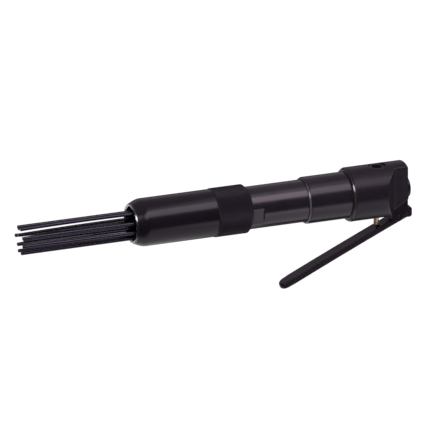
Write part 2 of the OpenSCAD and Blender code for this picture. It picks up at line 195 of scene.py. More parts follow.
def makeTurningLines():
    inputs = {"Lines": 3200.0, "Drift": 60.0}
    group, given, result, where = newGroup("turningLines", inputs, ["Height", "Tone"])
    lines = addNode(group, "ShaderNodeTexNoise", noise_dimensions="1D")
    group.links.new(splitPlace(group, where)["X"], lines.inputs["W"])
    group.links.new(given["Lines"], lines.inputs["Scale"])
    lines.inputs["Detail"].default_value = 2.0
    group.links.new(lines.outputs["Fac"], result["Height"])
    drift = noiseNode(group, where, given["Drift"])
    group.links.new(rampUp(group, drift, 0.3, 0.7), result["Tone"])
    return group


def makeHandling():
    inputs = {"Scale": 45.0, "Specks": 1400.0}
    group, given, result, where = newGroup("handling", inputs, ["Smear", "Dust"])
    smear = noiseNode(group, where, given["Scale"], 5.0, 0.62)
    specks = noiseNode(group, where, given["Specks"], 2.0)
    group.links.new(rampUp(group, smear, 0.38, 0.68), result["Smear"])
    group.links.new(rampUp(group, specks, 0.68, 0.78), result["Dust"])
    return group


def makeRubAndHighlightLine():
    # a ring about X that fades out above a height. Its lighter colour is a painted highlight line along
    # the handle's rim, where the band is also rubbed and part-metallic, and along the sleeve's edge;
    # round the nozzle's mouth it is metal rubbed bare
    inputs = {"Along": 0.0, "Half": 0.0007, "Top": 0.017}
    group, given, result, where = newGroup("rubAndHighlightLine", inputs, ["Mask"])
    place = splitPlace(group, where)
    off = mathNode(group, "ABSOLUTE", subtract(group, place["X"], given["Along"]))
    ring = remap(group, mathNode(group, "DIVIDE", off, given["Half"]), 0.8, 1.2, 1.0, 0.0)
    above = subtract(group, place["Z"], given["Top"])
    fade = remap(group, above, -0.0015, 0.0015, 1.0, 0.1)
    group.links.new(multiply(group, ring, fade), result["Mask"])
    return group


def makeRecessShade():
    # painted shade: darker under a rising line, behind its start and between two cheeks
    inputs = {"Start": 0.0, "Level": 0.0, "Rise": 0.0, "Half": 0.01}
    group, given, result, where = newGroup("recessShade", inputs, ["Mask"])
    place = splitPlace(group, where)
    behind = subtract(group, place["X"], given["Start"])
    line = mathNode(group, "MULTIPLY_ADD", behind, given["Rise"], given["Level"])
    under = rampUp(group, subtract(group, line, place["Z"]), 0.0, 0.0008)
    between = subtract(group, given["Half"], mathNode(group, "ABSOLUTE", place["Y"]))
    recess = multiply(group, under, rampUp(group, between, 0.0, 0.0003))
    group.links.new(multiply(group, recess, rampUp(group, behind, 0.0, 0.0008)), result["Mask"])
    return group


groups = {
    "edgeWear": makeEdgeWear(),
    "recessShade": makeRecessShade(),
    "rubAndHighlightLine": makeRubAndHighlightLine(),
    "castGrain": makeCastGrain(),
    "turningLines": makeTurningLines(),
    "handling": makeHandling(),
}
print("shader groups:", ", ".join(groups))


# Finishes

plum = (1.0, 0.83, 1.0)  # the black coats reflect a little purple
mottleGain = 1.35  # how much lighter than its base a finish gets in patches
dustRough = 0.08

turned = {
    "worn": (0.07, 0.064, 0.07), "rough": (0.2, 0.24), "tint": plum,
    "texture": "turningLines", "values": {"Lines": 2600.0, "Drift": 60.0}, "bump": 0.000004,
    "wear": 0.0005, "wearShare": 0.35,
}
finishes = {
    "castBlack": {
        "base": (0.0142, 0.0098, 0.016), "worn": (0.05, 0.045, 0.052), "rough": (0.27, 0.32),
        "tint": plum, "shine": 0.17,
        "texture": "castGrain", "values": {"Scale": 1500.0, "Mottle": 190.0}, "bump": 0.00003,
        "wear": 0.0006, "wearShare": 0.3,
        # the front rim of the handle: a rubbed, part-metallic band whose lighter colour is also a painted
        # highlight line
        "rubAndHighlight": {"Along": -0.05715, "Half": 0.0007},
        "rubAndHighlightColour": (0.068, 0.059, 0.06), "rubAndHighlightMetal": 0.5, "rubAndHighlightRough": -0.12,
        # the lower part of its tang, painted darker as shade in its recess
        "recess": {"Start": -0.0193, "Level": -0.018, "Rise": 0.6207, "Half": 0.0099},
        "grimy": (0.0062, 0.0042, 0.0078),
    },
    "turnedBlack": {**turned, "base": (0.013, 0.0095, 0.0146)},
    "sleeveBlack": {
        **turned, "base": (0.013, 0.0095, 0.0146), "shine": 0.33,
        # the front edge: a lighter band painted as its highlight line
        "rubAndHighlight": {"Along": -0.097, "Half": 0.0006},
        "rubAndHighlightColour": (0.11, 0.096, 0.107), "rubAndHighlightRough": -0.03,
    },
    "nozzleBlack": {
        **turned, "base": (0.0085, 0.006, 0.0095), "shine": 0.28,
        # rubbed bare all round the mouth
        "rubAndHighlight": {"Along": -0.2532, "Half": 0.0006, "Top": 0.1},
        "rubAndHighlightColour": (0.15, 0.135, 0.15), "rubAndHighlightMetal": 0.95,
    },
    "knurlBlack": {
        "base": (0.0092, 0.0062, 0.0122), "worn": (0.04, 0.036, 0.042), "rough": (0.5, 0.58),
        "tint": plum, "shine": 0.27,
        "texture": "castGrain", "values": {"Scale": 2600.0, "Mottle": 240.0}, "bump": 0.00002,
        "wear": 0.0002, "wearShare": 0.2,
    },
    "leverBlack": {
        "base": (0.0064, 0.0042, 0.0076), "worn": (0.055, 0.05, 0.057), "rough": (0.28, 0.34),
        "tint": (1.0, 0.8, 1.0), "shine": 0.25,
        "texture": "castGrain", "values": {"Scale": 1800.0, "Mottle": 150.0}, "bump": 0.000012,
        "wear": 0.0006, "wearShare": 0.3,
    },
    # darker and duller than the handle's coat; on the sunk throttle plug this is painted shade for its
    # recess
    "plugBlack": {
        "base": (0.0095, 0.0068, 0.0108), "worn": (0.03, 0.027, 0.031), "rough": (0.36, 0.42),
        "tint": plum, "shine": 0.13,
        "texture": "castGrain", "values": {"Scale": 2400.0, "Mottle": 260.0}, "bump": 0.00002,
        "wear": 0.0004, "wearShare": 0.3,
    },
    "needleSteel": {
        "base": (0.036, 0.028, 0.046), "worn": (0.14, 0.135, 0.15), "rough": (0.2, 0.28), "metal": 0.85,
        "texture": "castGrain", "values": {"Scale": 2200.0, "Mottle": 320.0}, "bump": 0.00001,
        "wear": 0.0003, "wearShare": 0.4,
    },
    "bareSteel": {
        "base": (0.4, 0.39, 0.41), "worn": (0.6, 0.59, 0.6), "rough": (0.18, 0.3), "metal": 1.0,
        "texture": "turningLines", "values": {"Lines": 4200.0, "Drift": 90.0}, "bump": 0.00001,
        "wear": 0.0003, "wearShare": 0.5,
    },
    "springSteel": {
        "base": (0.32, 0.31, 0.32), "worn": (0.5, 0.49, 0.5), "rough": (0.28, 0.4), "metal": 1.0,
        "texture": "castGrain", "values": {"Scale": 2600.0, "Mottle": 300.0}, "bump": 0.00001,
        "wear": 0.0002, "wearShare": 0.3,
    },
    "brass": {
        "base": (1.0, 0.61, 0.38), "worn": (1.0, 0.7, 0.46), "rough": (0.5, 0.6), "metal": 0.9,
        "texture": "castGrain", "values": {"Scale": 2600.0, "Mottle": 420.0}, "bump": 0.00001,
        "wear": 0.0003, "wearShare": 0.4,
    },
    "rubber": {
        "base": (0.01, 0.01, 0.01), "worn": (0.03, 0.03, 0.03), "rough": (0.6, 0.75),
        "texture": "castGrain", "values": {"Scale": 2000.0, "Mottle": 260.0}, "bump": 0.00003,
        "wear": 0.0003, "wearShare": 0.2,
    },
}


def placeGroup(tree, name, values):
    node = addNode(tree, "ShaderNodeGroup", node_tree=groups[name])
    for label, value in values.items():
        node.inputs[label].default_value = value
    return node


def opaque(colour):
    return (*colour, 1.0)


def mixColours(tree, share, first, second):
    node = addNode(tree, "ShaderNodeMix", data_type="RGBA")
    feed(tree, node.inputs["Factor"], share)
    feed(tree, node.inputs["A"], first)
    feed(tree, node.inputs["B"], second)
    return node.outputs["Result"]


def makeFinish(name, look):
    material = bpy.data.materials.new(name)
    material.use_nodes = True
    tree = material.node_tree
    shader = tree.nodes["Principled BSDF"]
    texture = placeGroup(tree, look["texture"], look["values"])
    wear = placeGroup(tree, "edgeWear", {"Radius": look["wear"]})
    touch = placeGroup(tree, "handling", {})
    lighter = [mottleGain * c for c in look["base"]]
    toned = mixColours(tree, texture.outputs["Tone"], opaque(look["base"]), opaque(lighter))
    worn = multiply(tree, wear.outputs["Mask"], look["wearShare"])
    colour = mixColours(tree, worn, toned, opaque(look["worn"]))
    smooth = remap(tree, touch.outputs["Smear"], 0.0, 1.0, *look["rough"])
    rough = mathNode(tree, "MULTIPLY_ADD", touch.outputs["Dust"], dustRough, smooth)
    metal = look.get("metal", 0.0)
    # the lighter ring: a painted highlight line on the handle and sleeve, rubbed bare metal on the nozzle
    if "rubAndHighlight" in look:
        rubAndHighlight = placeGroup(tree, "rubAndHighlightLine", look["rubAndHighlight"]).outputs["Mask"]
        colour = mixColours(tree, rubAndHighlight, colour, opaque(look["rubAndHighlightColour"]))
        if "rubAndHighlightRough" in look:
            rough = mathNode(tree, "MULTIPLY_ADD", rubAndHighlight, look["rubAndHighlightRough"], rough)
        if "rubAndHighlightMetal" in look:
            metal = multiply(tree, rubAndHighlight, look["rubAndHighlightMetal"])
    # painted shade in the tang's recess
    if "recess" in look:
        recessShadeMask = placeGroup(tree, "recessShade", look["recess"]).outputs["Mask"]
        colour = mixColours(tree, recessShadeMask, colour, opaque(look["grimy"]))
    feed(tree, shader.inputs["Base Color"], colour)
    feed(tree, shader.inputs["Roughness"], rough)
    feed(tree, shader.inputs["Metallic"], metal)
    shader.inputs["Specular IOR Level"].default_value = look.get("shine", 0.5)
    shader.inputs["Specular Tint"].default_value = opaque(look.get("tint", (1.0, 1.0, 1.0)))
    bump = addNode(tree, "ShaderNodeBump")
    bump.inputs["Distance"].default_value = look["bump"]
    tree.links.new(texture.outputs["Height"], bump.inputs["Height"])
    tree.links.new(bump.outputs["Normal"], shader.inputs["Normal"])
    return material


materials = {name: makeFinish(name, look) for name, look in finishes.items()}
print("finishes:", len(materials))


# Mesh helpers

def finishPiece(name, points, faces, finishNames, body, nodes, marks=None, sharp=None, normals=None):
    mesh = bpy.data.meshes.new(name)
    mesh.from_pydata([tuple(mm * c for c in p) for p in points], [], faces)
    for finishName in finishNames:
        mesh.materials.append(materials[finishName])
    if marks is not None:
        mesh.polygons.foreach_set("material_index", marks)
    mesh.polygons.foreach_set("use_smooth", [True] * len(mesh.polygons))
    if sharp:
        mesh.set_sharp_from_angle(angle=math.radians(sharp))
    if normals is not None:
        mesh.normals_split_custom_set_from_vertices(normals)
    mesh.update()
    obj = addToScene(bpy.data.objects.new(name, mesh))
    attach(obj, body)
    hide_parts(*nodes)
    print("piece:", name, len(mesh.polygons), "faces")
    return obj


def roundCorners(corners, steps=5):
    # corners are (along, radius, rounding, finish); a rounded corner becomes a short curve
    path = []
    count = len(corners)
    for i, (along, radius, rounding, finish) in enumerate(corners):
        here = np.array((along, radius))
        if rounding == 0:
            path.append((along, radius, finish))
            continue
        ends = []
        for other in (corners[i - 1], corners[(i + 1) % count]):
            away = np.array(other[:2]) - here
            length = np.hypot(*away)
            ends.append(here + away / length * min(rounding, 0.49 * length))
        for s in np.linspace(0.0, 1.0, steps + 1):
            point = (1 - s) ** 2 * ends[0] + 2 * s * (1 - s) * here + s ** 2 * ends[1]
            path.append((point[0], point[1], finish))
    return path


def turnOutline(path, steps):
    # rings about X, joined into a closed skin; a radius of zero is a single point
    points = []
    rows = []
    angles = 2 * math.pi * np.arange(steps) / steps
    for along, radius, _ in path:
        if radius == 0:
            rows.append([len(points)] * steps)
            points.append((along, 0.0, 0.0))
        else:
            rows.append(list(range(len(points), len(points) + steps)))
            points.extend((along, radius * math.sin(a), radius * math.cos(a)) for a in angles)
    faces = []
    marks = []
    closed = path[0][1] > 0
    for k in range(len(rows) if closed else len(rows) - 1):
        first, second = rows[k], rows[(k + 1) % len(rows)]
        for i in range(steps):
            j = (i + 1) % steps
            loop = list(dict.fromkeys((first[i], second[i], second[j], first[j])))
            faces.append(loop)
            marks.append(path[k][2])
    return points, faces, marks


# Soft fields: negative inside, in millimetres

def softJoin(first, second, blend):
    near = np.maximum(blend - np.abs(first - second), 0.0) / blend
    return np.minimum(first, second) - near * near * blend / 4


def softCut(first, second, blend):
    return -softJoin(-first, -second, blend)


def largest(*fields):
    result = fields[0]
    for field in fields[1:]:
        result = np.maximum(result, field)
    return result


def roundedBox(across, up, rounding):
    # the two are distances past the box's straight sides, taken in by the rounding
    inner = np.minimum(np.maximum(across, up), 0)
    return inner + np.hypot(np.maximum(across, 0), np.maximum(up, 0)) - rounding


def outlineField(corners, u, v):
    nearest = np.full(np.broadcast(u, v).shape, 1e9)
    inside = np.zeros(nearest.shape, bool)
    for (au, av), (bu, bv) in zip(corners, corners[1:] + corners[:1]):
        eu, ev = bu - au, bv - av
        share = np.clip(((u - au) * eu + (v - av) * ev) / (eu * eu + ev * ev), 0.0, 1.0)
        nearest = np.minimum(nearest, (u - au - share * eu) ** 2 + (v - av - share * ev) ** 2)
        crosses = (av > v) != (bv > v)
        inside ^= crosses & (u < au + (v - av) * eu / (ev or 1.0))
    return np.where(inside, -1.0, 1.0) * np.sqrt(nearest)


def slopeOf(field, points, nudge):
    here = field(*points.T)
    slopes = [(field(*(points + nudge * step).T) - here) / nudge for step in np.eye(3)]
    return here, np.stack(slopes, axis=1)


def skinField(field, low, high, cell):
    # one point in each cell that the surface crosses, moved on to the surface,
    # and a face across each crossed edge
    axes = [np.arange(a - cell, b + 2 * cell, cell) for a, b in zip(low, high)]
    values = field(*np.meshgrid(*axes, indexing="ij", sparse=True))
    cells = tuple(n - 1 for n in values.shape)
    total = np.zeros(cells + (3,))
    hits = np.zeros(cells)
    crossings = []
    for axis in range(3):
        others = [k for k in range(3) if k != axis]
        near = np.take(values, range(values.shape[axis] - 1), axis)
        far = np.take(values, range(1, values.shape[axis]), axis)
        places = np.argwhere((near < 0) != (far < 0))
        a, b = near[tuple(places.T)], far[tuple(places.T)]
        spots = np.stack([axes[k][places[:, k]] for k in range(3)], axis=1)
        spots[:, axis] += cell * a / (a - b)
        corners = []
        for du, dv in ((1, 1), (0, 1), (0, 0), (1, 0)):
            home = places.copy()
            home[:, others[0]] -= du
            home[:, others[1]] -= dv
            np.add.at(total, tuple(home.T), spots)
            np.add.at(hits, tuple(home.T), 1)
            corners.append(home)
        crossings.append((corners, (a < 0) == (axis != 1)))
    used = np.argwhere(hits > 0)
    index = np.full(cells, -1)
    index[tuple(used.T)] = np.arange(len(used))
    points = total[tuple(used.T)] / hits[tuple(used.T)][:, None]
    faces = []
    for corners, forward in crossings:
        loop = np.stack([index[tuple(home.T)] for home in corners], axis=1)
        loop[~forward] = loop[~forward][:, ::-1]
        faces.extend(loop.tolist())
    nudge = 0.02 * cell
    for _ in range(3):
        here, slope = slopeOf(field, points, nudge)
        steep = np.maximum((slope ** 2).sum(axis=1), 0.2)
        points = points - np.clip(here / steep, -cell / 2, cell / 2)[:, None] * slope
    slope = slopeOf(field, points, nudge)[1]
    return points, faces, slope / np.maximum(np.linalg.norm(slope, axis=1), 1e-9)[:, None]


# Nozzle: glossy front tube with a bare ring round its mouth

nozzle = {
    "front": -253.8, "back": -161.0, "collarFront": -180.6,
    "radius": 20.6, "mouth": 14.8, "faceRadius": 17.3, "bore": 16.3, "spigot": 17.47,
    "taper": 8.4, "shoulderRound": 3.0, "lip": 8.5, "steps": 192,
    "innerEdge": (1.1, 0.8),  # depth and width of the mouth's inner chamfer
    "outerEdge": (1.35, 0.6, 0.25),  # depth of the rubbed edge, and its reach inside and outside the face
    "collarGap": 0.1, "backEdge": 0.2,
}


def makeNozzle():
    n = nozzle
    innerDepth, innerWidth = n["innerEdge"]
    outerDepth, outerIn, outerOut = n["outerEdge"]
    tubeEnd = n["collarFront"] - n["collarGap"]
    corners = [
        (n["front"] + innerDepth, n["mouth"], 0.5, 1),
        (n["front"], n["mouth"] + innerWidth, 0.4, 1),
        (n["front"], n["faceRadius"] - outerIn, 0.2, 0),
        (n["front"] + outerDepth, n["faceRadius"] + outerOut, 0.3, 0),
        (n["front"] + n["taper"], n["radius"], n["shoulderRound"], 0),
        (tubeEnd - n["backEdge"], n["radius"], 0.1, 0),
        (tubeEnd, n["radius"] - n["backEdge"], 0.0, 0),
        (tubeEnd, n["spigot"], 0.0, 0),
        (n["back"], n["spigot"], 0.0, 0),
        (n["back"], n["bore"], 0.0, 0),
        (n["front"] + n["lip"], n["bore"], 0.0, 0),
        (n["front"] + n["lip"], n["mouth"], 0.0, 0),
    ]
    points, faces, marks = turnOutline(roundCorners(corners), n["steps"])
    looks = ["nozzleBlack", "bareSteel"]
    finishPiece("nozzleTube", points, faces, looks, "tool", ["nozzle"], marks, sharp=35)


makeNozzle()


# Collar: a diamond knurl between two turned edges

collar = {
    "front": -180.6, "back": -148.6, "radius": 21.2, "bore": 17.5,
    "teeth": 124, "depth": 0.34, "knurlFront": 0.85, "knurlBack": 3.1,
    # corners of the two edges: distance from the end, drop from the radius
    "frontEdge": ((0.0, 0.94), (0.35, 0.44), (0.6, 0.24), (0.7, 0.24)),
    "backEdge": ((2.8, 0.22), (0.5, 2.45), (0.0, 2.95)),
}


def makeCollar():
    c = collar
    columns = 2 * c["teeth"]
    angles = 2 * math.pi * np.arange(columns) / columns
    root = c["radius"] - c["depth"]
    knurlFront = c["front"] + c["knurlFront"]
    knurlBack = c["back"] - c["knurlBack"]
    pitch = math.pi * c["radius"] / c["teeth"]
    knurlRows = round((knurlBack - knurlFront) / pitch)
    rings = [(c["front"], c["bore"])]
    rings += [(c["front"] + inset, c["radius"] - drop) for inset, drop in c["frontEdge"]]
    firstKnurl = len(rings)
    for row in range(knurlRows + 1):
        peak = (np.arange(columns) + row) % 2 * c["depth"]
        rings.append((knurlFront + (knurlBack - knurlFront) * row / knurlRows, root + peak))
    lastKnurl = len(rings) - 1
    rings += [(c["back"] - inset, c["radius"] - drop) for inset, drop in c["backEdge"]]
    rings.append((c["back"], c["bore"]))
    points = []
    for along, radii in rings:
        for a, r in zip(angles, np.broadcast_to(radii, columns)):
            points.append((along, r * math.sin(a), r * math.cos(a)))
    faces = []
    for k in range(len(rings)):
        m = (k + 1) % len(rings)
        for i in range(columns):
            j = (i + 1) % columns
            a, b, e, d = k * columns + i, m * columns + i, m * columns + j, k * columns + j
            # in the knurl, a groove runs along the diagonal that joins the two low corners
            if not firstKnurl <= k < lastKnurl:
                faces.append([a, b, e, d])
            elif (i + k - firstKnurl) % 2:
                faces += [[a, b, d], [b, e, d]]
            else:
                faces += [[a, b, e], [a, e, d]]
    finishPiece("knurledCollar", points, faces, ["knurlBlack"], "tool", ["collar"], sharp=24)


makeCollar()


# Cylinder: glossy barrel with two wrench flats next to the collar

barrel = {
    "front": -157.0, "collarBack": -148.6, "sleeveFront": -97.6, "back": -71.2,
    "radius": 18.4, "spigot": 17.47, "seat": 16.97, "neckBore": 11.0, "neckBack": -144.5, "bore": 12.0,
    "collarGap": 0.2, "sleeveGap": 0.3,
    "flat": 17.0, "flatLength": 10.0, "flatTurn": 7.0, "flatStep": 0.25, "steps": 288,
}


def makeBarrel():
    b = barrel
    start = b["collarBack"] - b["collarGap"]
    flatEnd = b["collarBack"] + b["flatLength"]
    sleeveStop = b["sleeveFront"] + b["sleeveGap"]
    corners = [
        (b["front"], b["neckBore"], 0.0, 0),
        (b["front"], b["spigot"], 0.0, 0),
        (start, b["spigot"], 0.0, 0),
        (start, b["radius"], 0.0, 0),
        (flatEnd - b["flatStep"], b["radius"], 0.0, 0),
        (flatEnd, b["radius"], 0.0, 0),
        (sleeveStop, b["radius"], 0.0, 0),
        (sleeveStop, b["seat"], 0.0, 0),
        (b["back"], b["seat"], 0.0, 0),
        (b["back"], b["bore"], 0.0, 0),
        (b["neckBack"], b["bore"], 0.0, 0),
        (b["neckBack"], b["neckBore"], 0.0, 0),
    ]
    points, faces, _ = turnOutline(roundCorners(corners), b["steps"])
    low, high = start - b["collarGap"], flatEnd - b["flatStep"] / 2
    middle = (b["spigot"] + b["radius"]) / 2
    turn = math.radians(b["flatTurn"])
    c, s = math.cos(turn), math.sin(turn)
    placed = []
    for x, y, z in points:
        # the barrel's own rings near the collar are pressed in to the flats
        if low < x < high and math.hypot(y, z) > middle:
            across = max(-b["flat"], min(b["flat"], y * c + z * s))
            up = z * c - y * s
            y, z = across * c - up * s, across * s + up * c
        placed.append((x, y, z))
    finishPiece("hammerBarrel", placed, faces, ["turnedBlack"], "tool", ["cylinder"],
                sharp=9)


makeBarrel()


# Sleeve between barrel and handle

sleeve = {
    "front": -97.6, "handleFront": -58.6, "back": -50.1, "radius": 20.3, "spigot": 18.97, "bore": 17.0,
    "mouthDepth": 0.6, "mouthWidth": 1.5, "mouthEdge": 0.4, "handleGap": 0.05, "steps": 192,
    # corners of the front edge: distance from the front, drop from the radius, rounding
    "frontEdge": ((0.0, 1.0, 0.2), (1.35, 0.12, 0.3), (2.2, 0.0, 0.3)),
}


def makeSleeve():
    s = sleeve
    boreStart = s["front"] + s["mouthDepth"]
    shoulder = s["handleFront"] - s["handleGap"]
    corners = [
        (boreStart, s["bore"] + s["mouthWidth"], 0.2, 0),
        (s["front"], s["bore"] + s["mouthWidth"] + s["mouthEdge"], 0.3, 0),
    ]
    for inset, drop, rounding in s["frontEdge"]:
        corners.append((s["front"] + inset, s["radius"] - drop, rounding, 0))
    corners += [
        (shoulder, s["radius"], 0.0, 0),
        (shoulder, s["spigot"], 0.0, 0),
        (s["back"], s["spigot"], 0.0, 0),
        (s["back"], s["bore"], 0.0, 0),
        (boreStart, s["bore"], 0.0, 0),
    ]
    points, faces, _ = turnOutline(roundCorners(corners), s["steps"])
    finishPiece("couplingSleeve", points, faces, ["sleeveBlack"], "tool", ["sleeve"],
                sharp=35)


makeSleeve()


# Handle: cast head, bevelled to a tang with two ears for the lever

handle = {
    "front": -58.6, "back": -2.9, "radius": 23.6,
    "frontRound": 3.3, "backRound": 1.6, "edgeTilt": 34.0, "edgeCut": 0.1,
    "tangHalf": 10.2, "draft": 0.04, "castEdge": 1.3,
    "bevelFront": -26.5, "bevelBack": -15.9, "bevelFillet": 2.2,
    "earFront": -18.3, "earRoot": -20.0, "earRadius": 3.9, "earHalf": 12.0,
    "earArc": (205, 335), "earSteps": 7, "earWeld": 1.6,
    "pivotX": -11.4, "pivotZ": -23.7, "pinRadius": 2.0, "pinEdge": 0.4,
    # the lower tang is stepped in, below a line between two points in X and Z
    "reliefFront": (-19.3, -18.0), "reliefBack": (-1.9, -7.2),
    "reliefHalf": 9.3, "reliefDraft": 0.06, "reliefMiddle": -19.0, "reliefEdge": 0.8,
    "slotHalf": 6.8, "slotFront": -16.5, "slotTop": -19.0, "slotEdge": 0.7,
    "socketRadius": 19.0, "socketFloor": -48.6, "inletRadius": 7.2, "inletFront": -17.0, "boreEdge": 0.6,
    # bores on the valve's axis: radius, lowest and highest Z
    "valveX": -28.6,
    "valveBores": ((7.6, 14.1, 30.0), (6.0, -8.0, 14.7), (4.5, -15.0, -7.0), (4.0, -30.0, -14.0)),
    # bores along X: radius, drop below the axis, first and last X
    "airBores": ((4.5, 0.0, -28.6, -16.0), (3.5, 11.5, -49.6, -28.6)),
    "margin": 0.1, "cell": 0.5,
}


def handleField(x, y, z):
    h = handle
    side = np.abs(y)
    radial = np.sqrt(y * y + z * z)
    edge = np.where(x < (h["front"] + h["back"]) / 2, h["frontRound"], h["backRound"])
    end = np.maximum(h["front"] - x, x - h["back"]) + edge
    body = roundedBox(radial - h["radius"] + edge, end, edge)

    tilt = math.radians(h["edgeTilt"])
    rounding = (h["front"] + h["frontRound"], h["radius"] - h["frontRound"])
    facet = (radial - rounding[1]) * math.cos(tilt) - (x - rounding[0]) * math.sin(tilt)
    body = np.maximum(body, facet - h["frontRound"] + h["edgeCut"])

    rim = [(h["pivotX"] + h["earRadius"] * math.cos(a), h["pivotZ"] + h["earRadius"] * math.sin(a))
           for a in np.linspace(*np.radians(h["earArc"]), h["earSteps"])]
    outline = [(h["earFront"], 0.0), (h["earFront"], h["earRoot"]), *rim]
    outline += [(h["back"], h["earRoot"]), (h["back"], 0.0)]
    ears = np.maximum(outlineField(outline, x, z), side - h["earHalf"])
    shape = softJoin(body, ears, h["earWeld"])

    run, drop = h["bevelBack"] - h["bevelFront"], h["radius"] - h["tangHalf"]
    bevel = ((x - h["bevelBack"]) * drop + (side - h["tangHalf"]) * run) / math.hypot(run, drop)
    flank = side - h["tangHalf"] + h["draft"] * z
    shape = softCut(shape, softJoin(flank, bevel, h["bevelFillet"]), h["castEdge"])

    (fx, fz), (bx, bz) = h["reliefFront"], h["reliefBack"]
    below = ((x - fx) * (bz - fz) - (z - fz) * (bx - fx)) / math.hypot(bx - fx, bz - fz)
    cheek = side - h["reliefHalf"] + h["reliefDraft"] * (z - h["reliefMiddle"])
    relief = softJoin(softJoin(cheek, below, h["reliefEdge"]), x - fx, h["reliefEdge"])
    shape = softCut(shape, relief, h["reliefEdge"])

    slot = largest(h["slotFront"] - x, side - h["slotHalf"], z - h["slotTop"])
    shape = softCut(shape, -slot, h["slotEdge"])
    hinge = np.hypot(x - h["pivotX"], z - h["pivotZ"]) - h["pinRadius"]
    shape = softCut(shape, -hinge, h["pinEdge"])
    shape = softCut(shape, -np.maximum(x - h["socketFloor"], radial - h["socketRadius"]), h["boreEdge"])
    shape = softCut(shape, -np.maximum(h["inletFront"] - x, radial - h["inletRadius"]), h["boreEdge"])
    fromValve = np.hypot(x - h["valveX"], y)
    for radius, low, high in h["valveBores"]:
        shape = softCut(shape, -largest(fromValve - radius, low - z, z - high), h["boreEdge"])
    for radius, fall, low, high in h["airBores"]:
        shape = softCut(shape, -largest(np.hypot(y, z + fall) - radius, low - x, x - high), h["boreEdge"])
    return shape


def makeHandle():
    h = handle
    reach = h["radius"] + h["margin"]
    low = (h["front"], -reach, h["pivotZ"] - h["earRadius"])
    points, faces, normals = skinField(handleField, low, (h["back"], reach, reach), h["cell"])
    finishPiece("castHandle", points, faces, ["castBlack"], "tool", ["handle"],
                normals=normals)


makeHandle()


# Air inlet: flanged bush with a threaded mouth

inlet = {
    "front": -17.0, "flangeFront": -2.9, "flange": 9.0, "seat": 7.17, "cup": 4.93, "cupBack": -11.5,
    "minor": 5.72, "major": 6.45, "pitch": 1.34, "edge": 0.8, "seatGap": 0.02, "steps": 128,
    "mouthEdge": 0.5, "threadMouth": -0.7, "threadStart": -0.9,
    # one tooth of the thread: share of the pitch, radius
    "tooth": ((0.45, "minor"), (0.55, "minor"), (0.95, "major"), (1.0, "major")),
}


def makeInlet():
    n = inlet
    flangeFront = n["flangeFront"] + n["seatGap"]
    corners = [
        (n["front"], n["cup"], 0.0, 0),
        (n["front"], n["seat"], 0.0, 0),
        (flangeFront, n["seat"], 0.0, 0),
        (flangeFront, n["flange"], 0.3, 0),
        (0.0, n["flange"], n["edge"], 0),
        (0.0, n["major"] + n["mouthEdge"], 0.3, 0),
        (n["threadMouth"], n["major"], 0.0, 0),
    ]
    along = n["threadStart"]
    while along - n["pitch"] > n["cupBack"]:
        corners += [(along - share * n["pitch"], n[level], 0.0, 0) for share, level in n["tooth"]]
        along -= n["pitch"]
    corners += [(n["cupBack"], n["minor"], 0.0, 0), (n["cupBack"], n["cup"], 0.0, 0)]
    points, faces, _ = turnOutline(roundCorners(corners), n["steps"])
    finishPiece("airInlet", points, faces, ["castBlack"], "tool", ["inlet_bush"], sharp=28)


makeInlet()


# Throttle plug with a hexagon socket, sunk in the top of the handle

plug = {
    "valveX": -28.6, "bottom": 15.3, "top": 22.3, "radius": 7.55, "edge": 1.0,
    "hexHalf": 4.0, "socketFloor": 18.3, "socketEdge": 0.5, "cell": 0.3,
}


def plugField(x, y, z):
    p = plug
    u = x - p["valveX"]
    flats = [np.abs(u * math.sin(a) + y * math.cos(a)) for a in np.radians((0, 60, 120))]
    hexagon = largest(*flats) - p["hexHalf"]
    disc = softCut(np.hypot(u, y) - p["radius"], np.maximum(p["bottom"] - z, z - p["top"]), p["edge"])
    return softCut(disc, -np.maximum(hexagon, p["socketFloor"] - z), p["socketEdge"])


def makePlug():
    p = plug
    low = (p["valveX"] - p["radius"], -p["radius"], p["bottom"])
    high = (p["valveX"] + p["radius"], p["radius"], p["top"])
    points, faces, normals = skinField(plugField, low, high, p["cell"])
    finishPiece("throttlePlug", points, faces, ["plugBlack"], "tool", ["throttle_plug"],
                normals=normals)


makePlug()


# Lever: tapered bar with a round tip, a hinge barrel and a stop hook behind the handle

lever = {
    "pivotX": -11.4, "pivotZ": -23.7, "angle": 25.0, "length": 118.3, "half": 6.5, "tipHalf": 6.3,
    "taperStart": 5.3, "thickness": 4.7, "tipThickness": 5.2, "bow": 0.85, "crown": 84.96, "heel": 10.5,
    "barrel": 4.3, "hole": 2.06, "holeEdge": 0.4,
    "hookIn": 8.9, "hookOut": 13.8, "hookLow": -2.1, "hookHigh": 7.0, "hookRound": 2.4,
    "edge": 1.1, "tipEdge": 0.8, "draft": 0.06, "weld": 1.6, "cell": 0.4,
    "heelReach": 16.0, "heelDrop": 8.2,
}


def leverFrame():
    turn = math.radians(lever["angle"])
    return math.cos(turn), math.sin(turn)


